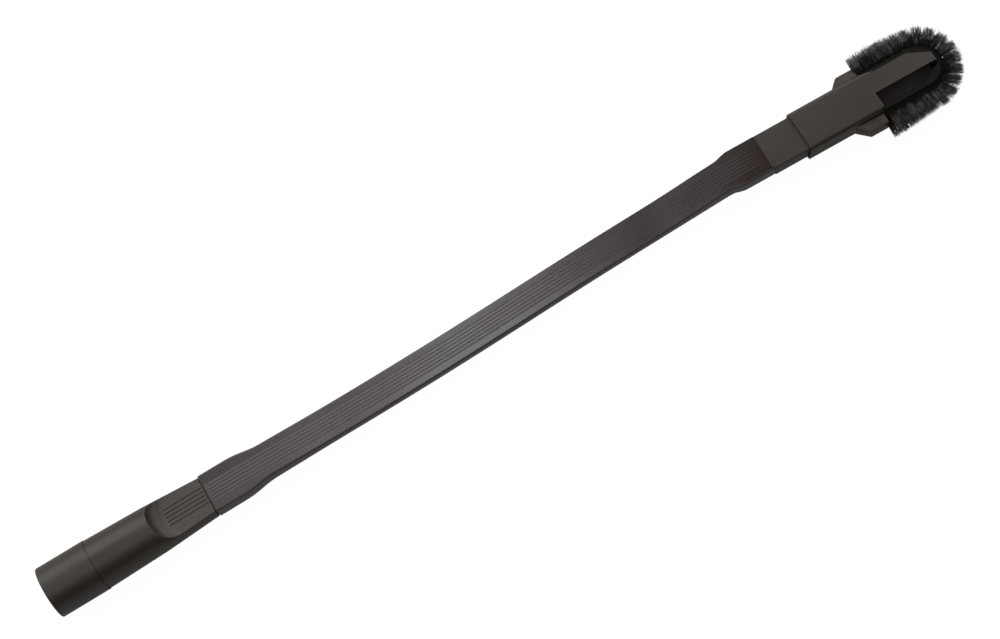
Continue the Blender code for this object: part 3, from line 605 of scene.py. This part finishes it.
# %% The way that a filament takes
SEAT_DEPTH = 2.2 * MM                       # in the hole
BUNDLE_RADIUS = 1.15 * MM                   # at the mouth of the hole
SHORTEST = 0.80                             # share of its wisp's length
FAN = {"upper": (6.0 * MM, 3.2 * MM), "lower": (5.6 * MM, 2.6 * MM)}     # along and across the rim
PULL = 0.35                                 # how far a filament's tip is drawn to its wisp
STRAY = 0.06                                # of the fan, by which a filament leaves its wisp
FLARE = 0.34                                # below 1, the filaments part soon after they leave the hole
STATION_SHARES = (0.04, 0.16, 0.4, 0.7, 1.0)     # of the length, where a filament has its points
REAR_LEAN = 2.8 * MM                        # the most that the rearmost filaments lean back


def in_circle(chance):
    """A random place (side, rise) in a circle of radius 1."""
    turn = chance.uniform(0, 2 * math.pi)
    out = math.sqrt(chance.uniform(0, 1))
    return out * math.cos(turn), out * math.sin(turn)


def filament_points(chance, wisp_tip, reach, row, rear):
    """The points of one filament, from seat to tip. rear is the side that a shoulder is on, 1 or -1, or 0."""
    side, rise = in_circle(chance)
    mouth = Vector((0, BUNDLE_RADIUS * side, BUNDLE_RADIUS * rise))
    along, across = FAN[row]
    own_side, own_rise = in_circle(chance)
    stray_side, stray_rise = chance.gauss(0, STRAY), chance.gauss(0, STRAY)
    length = reach * chance.uniform(SHORTEST, 1.0)
    points = [mouth - Vector((SEAT_DEPTH, 0, 0)), mouth]
    for share in STATION_SHARES:
        drawn = PULL * smooth_step(share)
        lean_side = along * (own_side * (1 - drawn) + wisp_tip[0] * drawn + stray_side)
        lean_rise = across * (own_rise * (1 - drawn) + wisp_tip[1] * drawn + stray_rise)
        if rear:
            lean_side = rear * min(rear * lean_side, REAR_LEAN)
        lean = Vector((0, lean_side, lean_rise)) * share ** FLARE
        points.append(mouth + Vector((length * share, 0, 0)) + lean)
    return points


# %% One tuft
FILAMENTS = 150                             # in each tuft
FILAMENT_RADIUS = 0.14 * MM
RADIUS_SHARES = (0.85, 1.15)                # of that, from the thinnest filament to the thickest
WISPS = 9                                   # groups in a tuft, whose tips stick together
SHORTEST_WISP = 0.86                        # share of the row's reach
PALE_STEPS = (0, 0, 1, 1, 2, 3)             # how many of the last steps of a wisp can get the painted highlight


def make_tuft(row, number):
    """One tuft of filaments, whose tips gather in wisps."""
    chance = random.Random(f"{row}{number}")
    place = tuft_frame(row, number)
    reach = reach_at((number + ROWS[row][0]) / TUFTS) + ROWS[row][1]
    wisps = [(in_circle(chance), chance.uniform(SHORTEST_WISP, 1.0), chance.choice(PALE_STEPS))
             for _ in range(WISPS)]
    rear = {0: 1, TUFTS - 1: -1}.get(number, 0)
    bm = bmesh.new()
    for _ in range(FILAMENTS):
        wisp_tip, wisp_length, pale = chance.choice(wisps)
        points = filament_points(chance, wisp_tip, reach * wisp_length, row, rear)
        radius = FILAMENT_RADIUS * chance.uniform(*RADIUS_SHARES)
        filament(bm, [place @ point for point in points], radius, pale)
    name = f"filaments_{row}_{number + 1:02d}"
    mesh = bpy.data.meshes.new(name)
    bm.to_mesh(mesh)
    bm.free()
    mesh.materials.append(NYLON)
    # The second material paints a highlight on the pale tips.
    mesh.materials.append(PAINTED_HIGHLIGHT_NYLON)
    mesh.shade_smooth()
    piece = bpy.data.objects.new(name, mesh)
    bpy.context.scene.collection.objects.link(piece)
    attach(piece, "brush")
    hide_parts(f"tuft_{row}_{number + 1:02d}")
    return len(mesh.polygons)


# %% Grow all the tufts
faces = sum(make_tuft(row, number) for row in ROWS for number in range(TUFTS))
print("filaments", 2 * TUFTS * FILAMENTS, "faces", faces)

# %% [markdown]
# ## Floor, light and camera
#
# The tool lies on pale paper that the camera sees as white, with a faint shadow left on it. Black plastic
# shows its surroundings more than its own colour, so those matter most. The room is bright above and beyond
# the tool, which draws the sheen along the tops and the far edges, and dim behind the camera, which keeps
# the near sides dark. Three soft boxes do the rest.

# %% Floor
FLOOR_REACH = 6.0                           # metres from the middle to each side
PAPER_GLOW = 0.972                          # as the camera sees it
PAPER_SHINE = 0.12                          # as a glossy face shows it


def floor_material():
    """White paper. The camera, and rays that are let through, see it lit up; reflections see a little of it.

    Its grey part takes the shadow. For the camera that grey is dark, so the shadow stays faint.
    """
    material = bpy.data.materials.new("matt_paper")
    material.use_nodes = True
    tree = material.node_tree
    tree.nodes.clear()
    ray = add(tree, "ShaderNodeLightPath")
    seen = add(tree, "ShaderNodeMath", {"operation": "MAXIMUM"},
               {0: ray.outputs["Is Camera Ray"], 1: ray.outputs["Is Transmission Ray"]})
    glow = add(tree, "ShaderNodeMath", {"operation": "MULTIPLY"}, {0: seen.outputs[0], 1: PAPER_GLOW})
    shine = add(tree, "ShaderNodeMath", {"operation": "MULTIPLY_ADD"},
                {0: ray.outputs["Is Glossy Ray"], 1: PAPER_SHINE, 2: glow.outputs[0]})
    colour = add(tree, "ShaderNodeMix", {"data_type": "RGBA"},
                 {0: seen.outputs[0], 6: linear("#bcbcbc"), 7: linear("#4a4a4a")})
    paper = add(tree, "ShaderNodeBsdfDiffuse", inputs={"Color": colour.outputs[2]})
    white = add(tree, "ShaderNodeEmission", inputs={"Strength": shine.outputs[0]})
    both = add(tree, "ShaderNodeAddShader", inputs={0: paper.outputs[0], 1: white.outputs[0]})
    add(tree, "ShaderNodeOutputMaterial", inputs={"Surface": both.outputs[0]})
    return material


floor_mesh = bpy.data.meshes.new("floor")
corners = [(x * FLOOR_REACH, y * FLOOR_REACH, 0) for x, y in ((-1, -1), (1, -1), (1, 1), (-1, 1))]
floor_mesh.from_pydata(corners, [], [(0, 1, 2, 3)])
floor_mesh.materials.append(floor_material())
floor = bpy.data.objects.new("floor", floor_mesh)
bpy.context.scene.collection.objects.link(floor)
print("floor", 2 * FLOOR_REACH, "m wide")

# %% [markdown]
# The world is the room. Its light comes mostly from high on the far side, where the white backdrop stands,
# and falls off to almost nothing behind the camera. Towards the brush's end of the room the light has a dim
# gap, which leaves the tool's far half darker, and beyond that gap it is bright again, which shows in the
# faces that slope that way, such as the connector's scoop. The camera, and rays that are let through, see
# the room as plain white.

# %% World
BACKDROP_AIM = Vector((0, 0.64, 0.77)).normalized()     # towards the brightest part of the room
ROOM_DIM = 0.04                             # strength where it's dark
ROOM_BRIGHT = 1.1                           # strength where it's bright
ROOM_EDGES = (-0.20, 0.55)                  # cosines with that aim, between which dark becomes bright
END_AIM = (1.0, 0.45, 0.0)                  # towards the brush's end of the room
GAP_EDGES = (0.19, 0.35)                    # along that aim, where the gap begins
ROOM_GAP = 0.08                             # share of the light that is left in the gap
END_EDGES = (0.49, 0.64)                    # along that aim, where the gap ends
ROOM_END = 1.4                              # share of the light that is added beyond the gap
ROOM_SOFTER = 0.7                           # share of the light that dull surfaces get


def studio_world():
    """A bright far side with a dim gap in it, and a dim room behind the camera."""
    world = bpy.data.worlds.new("studio")
    world.use_nodes = True
    tree = world.node_tree
    tree.nodes.clear()
    ray = add(tree, "ShaderNodeLightPath")
    seen = add(tree, "ShaderNodeMath", {"operation": "MAXIMUM"},
               {0: ray.outputs["Is Camera Ray"], 1: ray.outputs["Is Transmission Ray"]})
    place = add(tree, "ShaderNodeTexCoord")
    aim = add(tree, "ShaderNodeVectorMath", {"operation": "DOT_PRODUCT"},
              {0: place.outputs["Generated"], 1: BACKDROP_AIM})
    shine = add(tree, "ShaderNodeMapRange", {"interpolation_type": "SMOOTHSTEP"},
                {"Value": aim.outputs["Value"], "From Min": ROOM_EDGES[0], "From Max": ROOM_EDGES[1],
                 "To Min": ROOM_DIM, "To Max": ROOM_BRIGHT})
    side = add(tree, "ShaderNodeVectorMath", {"operation": "DOT_PRODUCT"},
               {0: place.outputs["Generated"], 1: END_AIM})
    gap = add(tree, "ShaderNodeMapRange", {"interpolation_type": "SMOOTHSTEP"},
              {"Value": side.outputs["Value"], "From Min": GAP_EDGES[0], "From Max": GAP_EDGES[1],
               "To Min": 1.0, "To Max": ROOM_GAP})
    more = add(tree, "ShaderNodeMapRange", {"interpolation_type": "SMOOTHSTEP"},
               {"Value": side.outputs["Value"], "From Min": END_EDGES[0], "From Max": END_EDGES[1],
                "To Max": ROOM_END})
    end = add(tree, "ShaderNodeMath", {"operation": "ADD"}, {0: gap.outputs[0], 1: more.outputs[0]})
    share = add(tree, "ShaderNodeMapRange",
                inputs={"Value": ray.outputs["Is Glossy Ray"], "To Min": ROOM_SOFTER})
    whole = add(tree, "ShaderNodeMath", {"operation": "MULTIPLY"}, {0: shine.outputs[0], 1: end.outputs[0]})
    light = add(tree, "ShaderNodeMath", {"operation": "MULTIPLY"}, {0: whole.outputs[0], 1: share.outputs[0]})
    room = add(tree, "ShaderNodeBackground", inputs={"Color": (1, 1, 1, 1), "Strength": light.outputs[0]})
    white = add(tree, "ShaderNodeBackground", inputs={"Color": (1, 1, 1, 1), "Strength": 1.0})
    mixed = add(tree, "ShaderNodeMixShader",
                inputs={0: seen.outputs[0], 1: room.outputs[0], 2: white.outputs[0]})
    add(tree, "ShaderNodeOutputWorld", inputs={"Surface": mixed.outputs[0]})
    return world


bpy.context.scene.world = studio_world()
print("world with", len(bpy.context.scene.world.node_tree.nodes), "nodes")

# %% [markdown]
# The key light is a narrow soft box beyond the tool. It shows in the tube's middle, where the tube is
# lightest. A wider one beyond the hose end lights the connector, and a third, on the camera's side, lifts the
# faces that would else be black.

# %% Lamps


def soft_box(name, place, target, width, height, power):
    """A rectangular area lamp that points at a target."""
    lamp = bpy.data.lights.new(name, "AREA")
    lamp.shape = "RECTANGLE"
    lamp.size = width
    lamp.size_y = height
    lamp.energy = power
    thing = bpy.data.objects.new(name, lamp)
    bpy.context.scene.collection.objects.link(thing)
    thing.location = place
    aim = Vector(target) - Vector(place)
    thing.rotation_euler = aim.to_track_quat("-Z", "Y").to_euler()


soft_box("key_light", place=(0.05, 0.92, 1.31), target=(0.05, 0, 0), width=0.31, height=1.1, power=4.0)
soft_box("fill_light", place=(-0.52, 1.14, 1.12), target=(-0.52, 0, 0), width=0.8, height=1.2, power=5.6)
soft_box("room_light", place=(-0.15, -0.75, 1.85), target=(-0.20, 0, 0), width=0.9, height=0.6, power=1.5)

# %% [markdown]
# The camera stands where the photographer's did. Its place, aim and lens come from a fit of the solids'
# outline to the photo's, so the render lies over the photo.

# %% Camera
FOCAL_LENGTH_MM = 81.844
SENSOR_WIDTH_MM = 36.0
CAMERA_PLACE = Vector((-0.10996, -0.61549, 1.51640))
CAMERA_FORWARD = Vector((0.06290826, 0.38009025, -0.92280765))
CAMERA_UP = Vector((0.5159999, 0.77907715, 0.35606585))
camera = bpy.data.objects.new("camera", bpy.data.cameras.new("camera"))
bpy.context.scene.collection.objects.link(camera)
camera.data.lens = FOCAL_LENGTH_MM
camera.data.sensor_width = SENSOR_WIDTH_MM
right = CAMERA_FORWARD.cross(CAMERA_UP)
turn = Matrix((right, CAMERA_UP, -CAMERA_FORWARD)).transposed()
camera.matrix_world = Matrix.Translation(CAMERA_PLACE) @ turn.to_4x4()
bpy.context.scene.camera = camera
bpy.context.scene.view_settings.view_transform = "Standard"
print("camera", round(CAMERA_PLACE.length, 3), "m from the origin")
